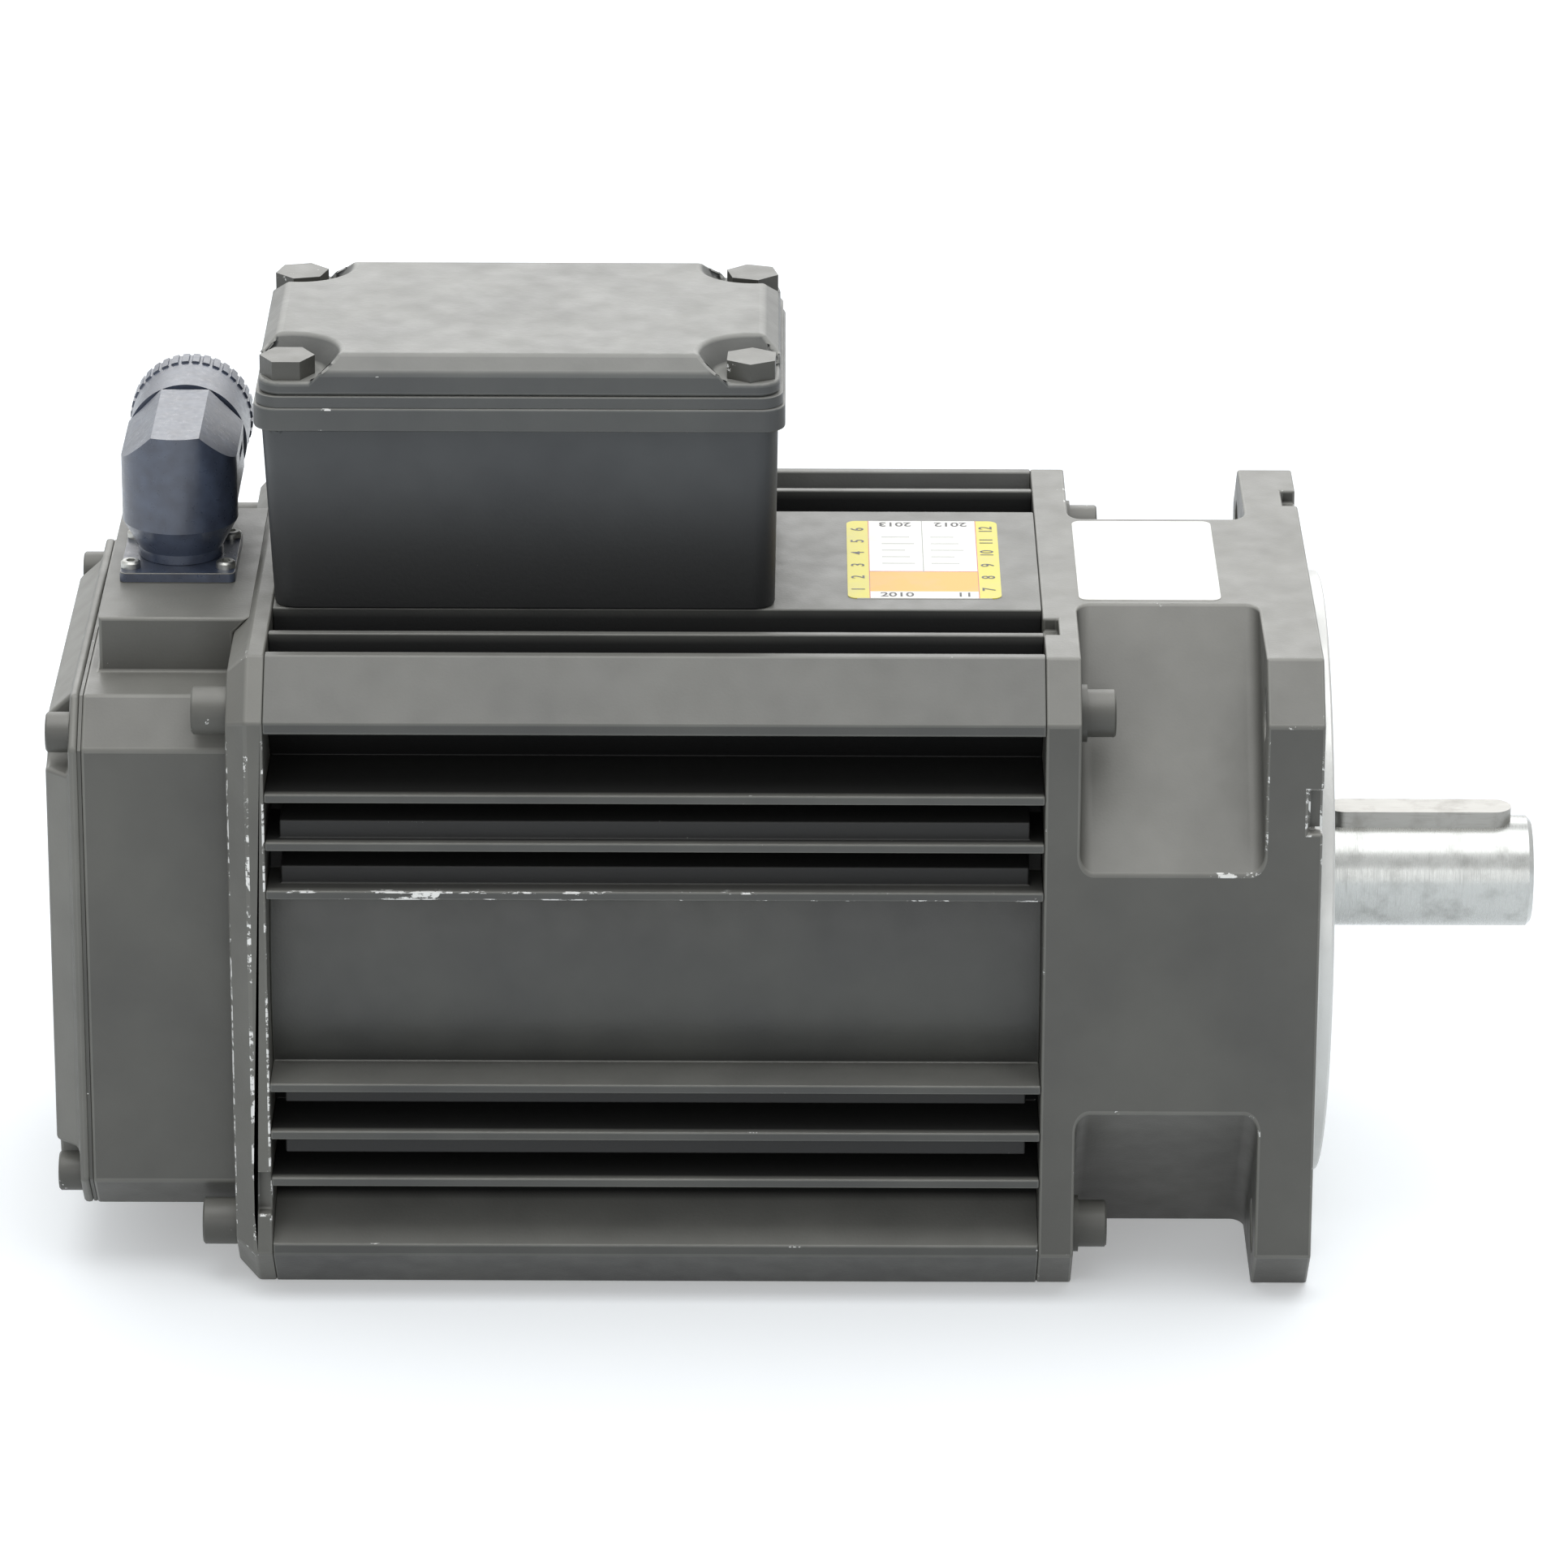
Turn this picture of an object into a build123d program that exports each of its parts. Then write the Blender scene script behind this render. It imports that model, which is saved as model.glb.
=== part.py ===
from build123d import *
from math import cos, radians, sin, sqrt
import os

# Flange-mounted servo motor. Millimetres. X is the shaft axis (+X out of the shaft), Z is up.
# The origin is the centre of the flange's mounting face.

# ---- mounting flange and output shaft ----
HALF = 71.0                # half of the square frame
CORNER = 11.0              # 45 degree corner cut of the plates
FLANGE_T = 12.0
PILOT_R = 65.0
PILOT_L = 3.5
BOLT_CIRCLE_R = 82.5
BOLT_HOLE_R = 5.5
SHAFT_R = 12.0
SHAFT_L = 50.0
SHAFT_CHAMFER = 1.0
KEY_W = 8.0
KEY_H = 7.0
KEY_DEPTH = 4.0            # depth of the keyway in the shaft
KEY_L = 40.0
KEY_END_GAP = 4.5          # from the keyway's end to the shaft's end
CENTRE_THREAD_R = 4.0
CENTRE_THREAD_L = 19.0

# ---- frame lengths along X ----
NECK_L = 38.3              # between the flange and the drive end plate
NECK_FLAT = 27.0           # half width of the neck's four flats
NECK_FILLET = 3.0
DE_PLATE_T = 7.4
STATOR_L = 161.7
RE_PLATE_T = 8.0
RE_BEVEL = 4.3
ENCODER_L = 30.8           # length of the encoder housing
GASKET_T = 0.7
COVER_RIM_T = 2.0
COVER_RISE = 5.4

# ---- stator housing profile ----
STATOR_BORE_R = 57.0
FLOOR_R = 62.0             # outside of the tube between the fins
LIP_W = 2.4                # flat land on each corner ridge
FIN_T = 2.0
SIDE_FINS = (21.8, 32.6, 43.3)
TOP_FIN = 45.8
PAD_HALF = 31.2            # flat pad on the top and the bottom
STEP_W = 5.0               # stepped root beside a side fin
STEP_INNER_DEPTH = 4.4
STEP_OUTER_DEPTH = 2.7
STEP_END_GAP = 3.0
LEAD_HOLE_R = 6.0

# ---- end shields ----
SPIGOT_L = 5.0
SPIGOT_CLEAR = 0.05
SPIGOT_WALL = 7.0
NOTCH_W = 9.5
NOTCH_T = 3.2
NOTCH_DEPTH = 3.0
NOTCH_POS = 41.0
SCREW_POS = 58.0           # frame screws, from the centre lines
M6_R = 3.0
M6_HEAD_R = 5.0
M6_HEAD_H = 6.0
M6_SOCKET = 5.0
WASHER_T = 1.4
WASHER_R = 6.0
THREAD_L = 16.0
HOLE_CLEAR = 0.3
THREAD_CLEAR = 0.05

# ---- shaft seal and bearings ----
RUN_CLEAR = 0.05           # radial running clearance
JOURNAL_R = 15.0           # seal land and front bearing seat
SEAL_R = 23.5
SEAL_W = 7.0
SEAL_X = -3.0              # front face of the seal
FRONT_BRG_R = 31.0
FRONT_BRG_W = 16.0
FRONT_BRG_X = -13.0        # front face of the front bearing
FRONT_BALL_R = 4.76
FRONT_SHOULDER_R = 18.0
REAR_SEAT_R = 12.5
REAR_BRG_R = 26.0
REAR_BRG_W = 15.0
REAR_BALL_R = 3.97
BALL_COUNT = 9
RACE_LIP = 2.6             # how far the race lips stand from the ball circle
CAGE_HALF_T = 1.7
CAGE_W = 12.0
CIRCLIP_T = 1.75
CIRCLIP_DEPTH = 1.5
CIRCLIP_W = 5.0
HUB_WALL = 6.5
SPRING_H = 2.4

# ---- stator and rotor ----
CORE_L = 112.0
CORE_X = -84.0             # front face of both laminated cores
BORE_R = 33.0              # inside of the stator teeth
AIR_GAP = 0.8
MAGNET_T = 3.5
POLES = 8
MAGNET_ANGLE = 38.0
SLOTS = 24
SLOT_DEPTH = 13.0
SLOT_HALF_ANGLE = 4.0
WINDING_L = 16.0
WINDING_R = (37.0, 52.0)
ROTOR_SEAT_R = 17.0
REAR_SHOULDER_R = 15.5

# ---- encoder ----
STUB_R = 5.0
STUB_L = 17.0
ENC_HUB_R = 9.0
ENC_DISC_R = 19.0
ENC_DISC_T = 1.0
ENC_BODY_R = 27.0
ENC_BODY_WALL = 3.0
ENC_BODY_L = 23.0
ENC_FLANGE_R = 31.5
ENC_FLANGE_T = 3.0
ENC_BOARD_T = 1.6
ENC_SCREW_R = 1.5
ENC_SCREW_CIRCLE = 29.2
ENC_SCREW_COUNT = 3

# ---- encoder housing, rear cover and connector block ----
ENC_HALF = 58.0
ENC_CORNER = 9.0
ENC_CAVITY_R = 50.0
COVER_SCREW_POS = 50.0
M5_R = 2.5
M5_HEAD_R = 4.25
M5_HEAD_H = 5.0
M5_SOCKET = 4.0
COVER_SHOULDER = 2.0       # rim left around the raised part of the cover
COVER_TAPER = 42.0
SCALLOP_R = 7.5
COVER_POCKET_R = 46.0
COVER_SKIN = 3.0
BLOCK_HALF_Y = 35.3
BLOCK_TOP = 70.1
BLOCK_INSET = 2.5          # from the cover seam to the block's rear face
BLOCK_BORE_R = 10.0

# ---- signal connector ----
CONN_GAP = 13.2            # from the rear end plate to the connector's upright axis
CONN_PLATE = (24.6, 27.6, 2.2)
CONN_SCREWS = (10.1, 9.6)
M3_R = 1.5
M3_HEAD_R = 2.1
M3_HEAD_H = 1.5
ELBOW_R = 12.3
ELBOW_FOOT_R = 9.0
ELBOW_FOOT_H = 2.0
ELBOW_CONE_H = 6.0
ELBOW_LIFT = 0.1           # running gap between elbow and plate
SWIVEL_R = 8.0
ELBOW_RISE = 17.0          # from the flange plate to the outlet axis
OUTLET_BODY_L = 21.5
BARREL_R = 11.0
BARREL_L = 42.0
BARREL_BORE_R = 9.6
NUT_R = 12.9
KNURL_R = 13.3
NUT_X = (23.0, 43.2)
KNURL_W = 5.2
KNURL_COUNT = 36
INSERT_Y = (26.0, 32.5)
PIN_R = 0.5
PIN_L = 4.5
PIN_CIRCLE_R = 6.2
PIN_COUNT = 11
SNAP_R = 9.4
SNAP_T = 1.0

# ---- terminal box ----
BOX_GAP_X = 56.1           # from the drive end plate to the box's front wall
BOX_FOOT = (105.2, 64.0)
BOX_TOP = (107.8, 68.0)
BOX_H = 40.6
BOX_R = 5.0
BOX_WALL = 4.0
BOX_FLOOR = 5.0
FRAME_SIZE = (110.8, 72.0)
FRAME_T = 5.0
SEAL_FRAME_T = 2.5
LID_SIZE = (108.6, 70.4)
LID_SKIRT = 5.1
LID_BEVEL_H = 3.2
LID_BEVEL_W = 3.6
LID_SKIN = 3.5
LID_SCREWS = (48.3, 28.8)
SCOOP_R = (7.8, 11.2)
SCOOP_FLOOR = 3.0          # height of the screw seats over the lid's lower face
HEX_AF = 10.0
HEX_H = 4.0
BOX_SCREWS = (40.0, 22.0)
TERM_BLOCK = (46.0, 26.0, 14.0)
STUD_PITCH = 15.0
STUD_R = 2.5
STUD_H = 26.0
NUT_AF = 8.0
NUT_T = 4.0
EARTH_POS = (34.0, 0.0)
PLUG_POS = (-24.0, 24.0)   # blanked cable entries, along the far wall
PLUG_R = (12.5, 10.0)
PLUG_HEAD_T = 3.0
PLUG_BODY_L = 8.0

# ---- labels ----
LABEL_T = 0.15
LABEL_CORNER = 2.0
DATE_LABEL = (32.5, 49.0)
DATE_LABEL_GAP = 8.2       # from the drive end plate to the label
NECK_LABEL = (30.0, 50.0)

# ---- stations along X ----
x_neck = -FLANGE_T
x_plate = x_neck - NECK_L
x_stator = x_plate - DE_PLATE_T
x_rear = x_stator - STATOR_L
x_encoder = x_rear - RE_PLATE_T
x_seam = x_encoder - ENCODER_L
x_cover = x_seam - GASKET_T
x_rim = x_cover - COVER_RIM_T
x_end = x_rim - COVER_RISE
x_core_end = CORE_X - CORE_L
x_front_shoulder = FRONT_BRG_X - FRONT_BRG_W
x_rear_brg = x_encoder - 1.6            # rear face of the rear bearing
x_rear_shoulder = x_rear_brg + REAR_BRG_W
x_hub = x_rear_brg - 2.0                # rear face of the rear bearing hub
x_conn = x_encoder - CONN_GAP
z_plate = BLOCK_TOP + CONN_PLATE[2]
z_outlet = z_plate + ELBOW_RISE
x_box = x_stator - BOX_GAP_X - BOX_FOOT[0] / 2
z_frame = HALF + BOX_H
z_seal = z_frame + FRAME_T
z_lid = z_seal + SEAL_FRAME_T
rotor_r = BORE_R - AIR_GAP
os.makedirs("parts", exist_ok=True)


def save(name, *solids):
    """Write one node: a single solid, or a group of separate solids."""
    shape = solids[0] if len(solids) == 1 else Compound(children=list(solids))
    export_step(shape, f"parts/{name}.step")


def along_x(profile, x0, x1):
    """Push a profile drawn in Y and Z from x0 to x1."""
    return extrude(Plane.YZ.offset(x0) * profile, x1 - x0)


def rod(x0, x1, radius, y=0.0, z=0.0):
    """A round bar along X."""
    return along_x(Pos(y, z) * Circle(radius), x0, x1)


def tube(x0, x1, outer, inner):
    """A round tube along X."""
    return along_x(Circle(outer) - Circle(inner), x0, x1)


def post(x, y, z0, z1, radius):
    """A round bar along Z."""
    return extrude(Plane.XY.offset(z0) * Pos(x, y) * Circle(radius), z1 - z0)


def turned(points):
    """Turn a profile of (x, radius) points about X."""
    return revolve(Plane.XZ * make_face(Polyline(*points, close=True)), Axis.X, 360)


def cut_square(half, corner):
    """A square with its corners cut at 45 degrees."""
    flat = half - corner
    return Polygon((half, -flat), (half, flat), (flat, half), (-flat, half), (-half, flat),
                   (-half, -flat), (-flat, -half), (flat, -half), align=None)


def corners(position):
    """The four corner places of a square pattern in Y and Z."""
    return [(y, z) for y in (-position, position) for z in (-position, position)]


def rectangle_corners(half_x, half_y):
    """The four corner places of a rectangle."""
    return [(x, y) for x in (-half_x, half_x) for y in (-half_y, half_y)]


def rods(places, x0, x1, radius):
    """Round bars along X at several (y, z) places."""
    return [rod(x0, x1, radius, y, z) for y, z in places]


def hexagon(across_flats):
    """A hexagon of a given size across its flats."""
    return RegularPolygon(across_flats / sqrt(3), 6)


def cap_screw(radius, head_r, head_h, socket, length):
    """A socket head cap screw along Z: its seat is Z = 0 and its shank runs down."""
    head = extrude(Circle(head_r), head_h)
    head = chamfer(head.edges().group_by(Axis.Z)[-1], 0.4)
    head -= Pos(0, 0, head_h * 0.45) * extrude(hexagon(socket), head_h)
    return head + extrude(Circle(radius), -length)


def hex_screw(radius, across_flats, head_h, length):
    """A hexagon head screw along Z: its seat is Z = 0 and its shank runs down."""
    return extrude(hexagon(across_flats), head_h) + extrude(Circle(radius), -length)


def notch(side_turn, x0, x1, position):
    """A pry notch in one side of a plate; side_turn picks the side."""
    block = Pos((x0 + x1) / 2, position, HALF) * Box(x1 - x0, NOTCH_W, 2 * NOTCH_DEPTH)
    return Rot(side_turn, 0, 0) * block


# ---- drive end shield: one casting, saved as its end plate, neck and flange, which meet face to face ----
shield = along_x(cut_square(HALF, CORNER), x_neck, 0)
shield += along_x(cut_square(HALF, HALF - NECK_FLAT), x_plate, x_neck)
shield += along_x(cut_square(HALF, CORNER), x_stator, x_plate)
valley = [e for e in shield.edges()
          if abs(abs(e.center().Y) - abs(e.center().Z)) < 0.01
          and abs(abs(e.center().Y) + abs(e.center().Z) - HALF - NECK_FLAT) < 0.01
          and min(abs(e.center().X - x_neck), abs(e.center().X - x_plate)) < 0.01]
shield = fillet(valley, NECK_FILLET)
shield += rod(0, PILOT_L, PILOT_R)
shield += tube(x_stator - SPIGOT_L, x_stator, STATOR_BORE_R - SPIGOT_CLEAR, STATOR_BORE_R - SPIGOT_WALL)
shield -= rod(x_stator - SPIGOT_L, x_front_shoulder - 6.0, STATOR_BORE_R - SPIGOT_WALL)
shield -= rod(x_front_shoulder - 6.0, FRONT_BRG_X, FRONT_BRG_R)
shield -= tube(x_front_shoulder - CIRCLIP_T, x_front_shoulder, FRONT_BRG_R + CIRCLIP_DEPTH, FRONT_BRG_R - 1)
shield -= rod(FRONT_BRG_X, SEAL_X, JOURNAL_R + 3.0)
shield -= rod(SEAL_X - SEAL_W, PILOT_L, SEAL_R)
bolt_pos = BOLT_CIRCLE_R / sqrt(2)
shield -= rods(corners(bolt_pos), x_neck, 0, BOLT_HOLE_R)
shield -= rods(corners(SCREW_POS), x_stator, x_plate, M6_R + HOLE_CLEAR)
for turn in (0, 90, 180, 270):
    shield -= notch(turn, -NOTCH_T, 0, NOTCH_POS)
for turn in (0, 180):
    shield -= notch(turn, x_stator, x_stator + NOTCH_T, -NOTCH_POS)
for name, x0, x1 in (("drive_end_plate", x_stator - SPIGOT_L, x_plate),
                     ("drive_end_neck", x_plate, x_neck),
                     ("drive_end_flange", x_neck, PILOT_L)):
    save(name, shield & along_x(Rectangle(3 * HALF, 3 * HALF), x0, x1))

# ---- stator housing: a finned tube with four corner ridges ----
flat = HALF - CORNER
lip = flat - LIP_W
web = FLOOR_R / sqrt(2)
ridge = Polygon((HALF, lip), (HALF, flat), (flat, HALF), (lip, HALF), (lip - 6, HALF - 17),
                (web - 4, web), (web, web - 4), (HALF - 17, lip - 6), align=None)
root_r = (STATOR_BORE_R + FLOOR_R) / 2 * 0.7
fin_mid = (root_r + HALF) / 2
profile = Circle(FLOOR_R)
for turn in (0, 90, 180, 270):
    profile += Rot(0, 0, turn) * ridge
for side in (-1, 1):
    for level in SIDE_FINS:
        for up in (-1, 1):
            profile += Pos(side * fin_mid, up * level) * Rectangle(HALF - root_r, FIN_T)
    for across in (-1, 1):
        profile += Pos(across * TOP_FIN, side * fin_mid) * Rectangle(FIN_T, HALF - root_r)
    profile += Pos(0, side * fin_mid) * Rectangle(2 * PAD_HALF, HALF - root_r)
profile -= Circle(STATOR_BORE_R)
housing = along_x(profile, x_rear, x_stator)
steps = ((SIDE_FINS[0], STEP_INNER_DEPTH), (SIDE_FINS[1], STEP_OUTER_DEPTH))
for level, depth in steps:
    width = HALF - depth - root_r
    for side in (-1, 1):
        for up in (-1, 1):
            bar = Pos(side * (root_r + width / 2), up * (level + STEP_W / 2)) * Rectangle(width, STEP_W)
            bar -= Circle(STATOR_BORE_R)
            housing += along_x(bar, x_rear + STEP_END_GAP, x_stator - STEP_END_GAP)
thread_ends = ((x_stator - THREAD_L, x_stator), (x_rear, x_rear + THREAD_L))
for x0, x1 in thread_ends:
    housing -= rods(corners(SCREW_POS), x0, x1, M6_R)
x_lead = x_core_end - WINDING_L / 2
housing -= post(x_lead, 0, 0, HALF, LEAD_HOLE_R)
for dx, dy in rectangle_corners(*BOX_SCREWS):
    housing -= post(x_box + dx, dy, HALF - 9, HALF, M5_R)
save("stator_housing", housing)

# ---- frame screws and washers ----
shank = WASHER_T + DE_PLATE_T + THREAD_L - 2
de_screw = Rot(0, 90, 0) * cap_screw(M6_R - THREAD_CLEAR, M6_HEAD_R, M6_HEAD_H, M6_SOCKET, shank)
re_screw = Rot(0, -90, 0) * cap_screw(M6_R - THREAD_CLEAR, M6_HEAD_R, M6_HEAD_H, M6_SOCKET,
                                      shank - DE_PLATE_T + RE_PLATE_T)
washer_hole = M6_R + 0.2
save("drive_end_screws", *[Pos(x_plate + WASHER_T, y, z) * de_screw for y, z in corners(SCREW_POS)])
save("drive_end_washers", *[Pos(0, y, z) * tube(x_plate, x_plate + WASHER_T, WASHER_R, washer_hole)
                            for y, z in corners(SCREW_POS)])
save("rear_end_screws", *[Pos(x_encoder - WASHER_T, y, z) * re_screw for y, z in corners(SCREW_POS)])
save("rear_end_washers", *[Pos(0, y, z) * tube(x_encoder - WASHER_T, x_encoder, M6_HEAD_R, washer_hole)
                           for y, z in corners(SCREW_POS)])

# ---- rear end shield ----
rear = along_x(cut_square(HALF, CORNER), x_encoder, x_rear)
rear = chamfer(rear.faces().sort_by(Axis.X)[0].edges(), RE_BEVEL)
rear += tube(x_rear, x_rear + SPIGOT_L, STATOR_BORE_R - SPIGOT_CLEAR, STATOR_BORE_R - SPIGOT_WALL)
hub_front = x_rear_shoulder + SPRING_H + 2.5
rear += rod(x_hub, hub_front, REAR_BRG_R + HUB_WALL)
rear -= rod(x_hub, x_rear_shoulder + SPRING_H, REAR_BRG_R)
rear -= rod(x_rear_shoulder, hub_front, REAR_SHOULDER_R + 3)
rear -= rods(corners(SCREW_POS), x_encoder, x_rear, M6_R + HOLE_CLEAR)
rear -= rods(corners(COVER_SCREW_POS), x_encoder, x_encoder + 6, M5_R)
enc_places = [(ENC_SCREW_CIRCLE * cos(radians(90 + 360 / ENC_SCREW_COUNT * k)),
               ENC_SCREW_CIRCLE * sin(radians(90 + 360 / ENC_SCREW_COUNT * k))) for k in range(ENC_SCREW_COUNT)]
rear -= rods(enc_places, x_hub, x_hub + 7, ENC_SCREW_R)
for turn in (90, 270):
    rear -= notch(turn, x_rear - NOTCH_T, x_rear, -NOTCH_POS - 5)
save("rear_end_shield", rear)

# ---- encoder housing with the connector block on top ----
encoder_housing = along_x(cut_square(ENC_HALF, ENC_CORNER), x_seam, x_encoder)
block_top_x = x_encoder + RE_BEVEL - (HALF - BLOCK_TOP)
block_rear = x_seam + BLOCK_INSET
block = Polyline((block_rear, ENC_HALF - 2), (x_encoder, ENC_HALF - 2), (x_encoder, HALF - RE_BEVEL),
                 (block_top_x, BLOCK_TOP), (block_rear, BLOCK_TOP), close=True)
encoder_housing += extrude(Plane.XZ * make_face(block), BLOCK_HALF_Y, both=True)
encoder_housing -= rod(x_seam, x_encoder, ENC_CAVITY_R)
encoder_housing -= rods(corners(COVER_SCREW_POS), x_seam, x_encoder, M5_R + HOLE_CLEAR)
encoder_housing -= post(x_conn, 0, 0, BLOCK_TOP, BLOCK_BORE_R)
conn_places = rectangle_corners(*CONN_SCREWS)
for dx, dy in conn_places:
    encoder_housing -= post(x_conn + dx, dy, BLOCK_TOP - 7, BLOCK_TOP, M3_R)
save("encoder_housing", encoder_housing)

# ---- rear cover, its gasket and its four long screws ----
gasket = cut_square(ENC_HALF - 0.3, ENC_CORNER) - Circle(ENC_CAVITY_R)
for y, z in corners(COVER_SCREW_POS):
    gasket -= Pos(y, z) * Circle(M5_R + HOLE_CLEAR)
save("rear_cover_gasket", along_x(gasket, x_cover, x_seam))
cover = along_x(cut_square(ENC_HALF, ENC_CORNER), x_rim, x_cover)
raised = cut_square(ENC_HALF - COVER_SHOULDER, ENC_CORNER)
cover += extrude(Plane.YZ.offset(x_rim) * raised, COVER_RISE, dir=(-1, 0, 0), taper=COVER_TAPER)
reach = ENC_HALF + 1 - COVER_SCREW_POS
for turn in (0, 90, 180, 270):
    scallop = Pos(COVER_SCREW_POS, COVER_SCREW_POS) * Circle(SCALLOP_R)
    scallop += Pos(COVER_SCREW_POS + reach / 2, COVER_SCREW_POS) * Rectangle(reach, 2 * SCALLOP_R)
    scallop += Pos(COVER_SCREW_POS, COVER_SCREW_POS + reach / 2) * Rectangle(2 * SCALLOP_R, reach)
    cover -= along_x(Rot(0, 0, turn) * scallop, x_end, x_rim)
cover -= rod(x_end + COVER_SKIN, x_cover, COVER_POCKET_R)
cover -= rods(corners(COVER_SCREW_POS), x_rim, x_cover, M5_R + HOLE_CLEAR)
save("rear_cover", cover)
cover_shank = COVER_RIM_T + GASKET_T + ENCODER_L + 5
cover_screw = Rot(0, -90, 0) * cap_screw(M5_R - THREAD_CLEAR, M5_HEAD_R, M5_HEAD_H, M5_SOCKET, cover_shank)
save("rear_cover_screws", *[Pos(x_rim, y, z) * cover_screw for y, z in corners(COVER_SCREW_POS)])

# ---- stator core with its slots, and the winding in them ----
slot_in = BORE_R + 1.5
slot_out = slot_in + SLOT_DEPTH
slot_w = sin(radians(SLOT_HALF_ANGLE))
slot = Polygon((slot_in, -slot_in * slot_w), (slot_out, -slot_out * slot_w),
               (slot_out, slot_out * slot_w), (slot_in, slot_in * slot_w), align=None)
slot_mouth = Pos(BORE_R, 0) * Rectangle(4, 2)
lamination = Circle(STATOR_BORE_R) - Circle(BORE_R)
heads = [tube(CORE_X, CORE_X + WINDING_L, WINDING_R[1], WINDING_R[0]),
         tube(x_core_end - WINDING_L, x_core_end, WINDING_R[1], WINDING_R[0])]
conductors = []
for k in range(SLOTS):
    turned_slot = Rot(0, 0, 360 / SLOTS * k) * slot
    lamination -= turned_slot
    lamination -= Rot(0, 0, 360 / SLOTS * k) * slot_mouth
    conductors.append(along_x(turned_slot, x_core_end, CORE_X))
save("stator_core", along_x(lamination, x_core_end, CORE_X))
copper = heads[0] + heads[1] + conductors
save("stator_winding", copper)

# ---- shaft, key and rear circlip ----
chamfer_r = SHAFT_R - SHAFT_CHAMFER
x_clip = x_rear_brg - 1.2
x_stub = x_hub
shaft = turned([(SHAFT_L, 0), (SHAFT_L, chamfer_r), (SHAFT_L - SHAFT_CHAMFER, SHAFT_R), (0, SHAFT_R),
                (0, JOURNAL_R), (x_front_shoulder, JOURNAL_R), (x_front_shoulder, FRONT_SHOULDER_R),
                (CORE_X, FRONT_SHOULDER_R), (CORE_X, ROTOR_SEAT_R), (x_core_end, ROTOR_SEAT_R),
                (x_core_end, REAR_SHOULDER_R), (x_rear_shoulder, REAR_SHOULDER_R),
                (x_rear_shoulder, REAR_SEAT_R), (x_rear_brg, REAR_SEAT_R), (x_rear_brg, REAR_SEAT_R - 0.6),
                (x_clip, REAR_SEAT_R - 0.6), (x_clip, REAR_SEAT_R), (x_stub, REAR_SEAT_R),
                (x_stub, STUB_R), (x_stub - STUB_L, STUB_R), (x_stub - STUB_L, 0)])
key_mid = SHAFT_L - KEY_END_GAP - KEY_L / 2
key_floor = SHAFT_R - KEY_DEPTH
key_shape = Plane.XY.offset(key_floor) * Pos(key_mid, 0) * SlotOverall(KEY_L, KEY_W)
shaft -= extrude(key_shape, KEY_H)
shaft -= rod(SHAFT_L - CENTRE_THREAD_L, SHAFT_L, CENTRE_THREAD_R)
save("shaft", shaft)
save("shaft_key", extrude(key_shape, KEY_H))
save("rear_bearing_circlip", tube(x_clip, x_rear_brg, REAR_SEAT_R + 2.6, REAR_SEAT_R - 0.6))

# ---- rotor core and magnets ----
core_r = rotor_r - MAGNET_T
save("rotor_core", tube(x_core_end, CORE_X, core_r, ROTOR_SEAT_R))
half_angle = radians(MAGNET_ANGLE / 2)
wedge = Polygon((0, 0), (2 * rotor_r * cos(half_angle), -2 * rotor_r * sin(half_angle)),
                (2 * rotor_r * cos(half_angle), 2 * rotor_r * sin(half_angle)), align=None)
magnet = (Circle(rotor_r) - Circle(core_r)) & wedge
save("rotor_magnets", *[along_x(Rot(0, 0, 360 / POLES * k) * magnet, x_core_end, CORE_X)
                        for k in range(POLES)])

# ---- shaft seal ----
seal_lip = JOURNAL_R + RUN_CLEAR
x_seal_back = SEAL_X - SEAL_W
seal = turned([(SEAL_X, SEAL_R), (SEAL_X, seal_lip + 1.5), (SEAL_X - 1.5, seal_lip), (SEAL_X - 3, seal_lip),
               (SEAL_X - 4, seal_lip + 2), (x_seal_back, seal_lip + 3), (x_seal_back, seal_lip + 5),
               (SEAL_X - 2, seal_lip + 5), (SEAL_X - 2, SEAL_R - 1.5), (x_seal_back, SEAL_R - 1.5),
               (x_seal_back, SEAL_R)])
save("shaft_seal", seal)


def bearing(name, x_back, width, inner_r, outer_r, ball_r):
    """A deep groove ball bearing: two rings, its balls and the cage that spaces them."""
    pitch_r = (inner_r + outer_r) / 2
    mid = x_back + width / 2
    groove = turned_ring(mid, pitch_r, ball_r + RUN_CLEAR)
    save(f"{name}_inner_ring", tube(x_back, x_back + width, pitch_r - RACE_LIP, inner_r) - groove)
    save(f"{name}_outer_ring", tube(x_back, x_back + width, outer_r, pitch_r + RACE_LIP) - groove)
    places = [(pitch_r * cos(radians(360 / BALL_COUNT * k)), pitch_r * sin(radians(360 / BALL_COUNT * k)))
              for k in range(BALL_COUNT)]
    save(f"{name}_balls", *[Pos(mid, y, z) * Sphere(ball_r) for y, z in places])
    cage_w = min(CAGE_W, width - 3)
    cage = tube(mid - cage_w / 2, mid + cage_w / 2, pitch_r + CAGE_HALF_T, pitch_r - CAGE_HALF_T)
    for y, z in places:
        cage -= Pos(mid, y, z) * Sphere(ball_r + RUN_CLEAR)
    save(f"{name}_cage", cage)


def turned_ring(x, pitch_r, radius):
    """A torus about X."""
    return Pos(x, 0, 0) * (Rot(0, 90, 0) * Torus(pitch_r, radius))


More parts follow.
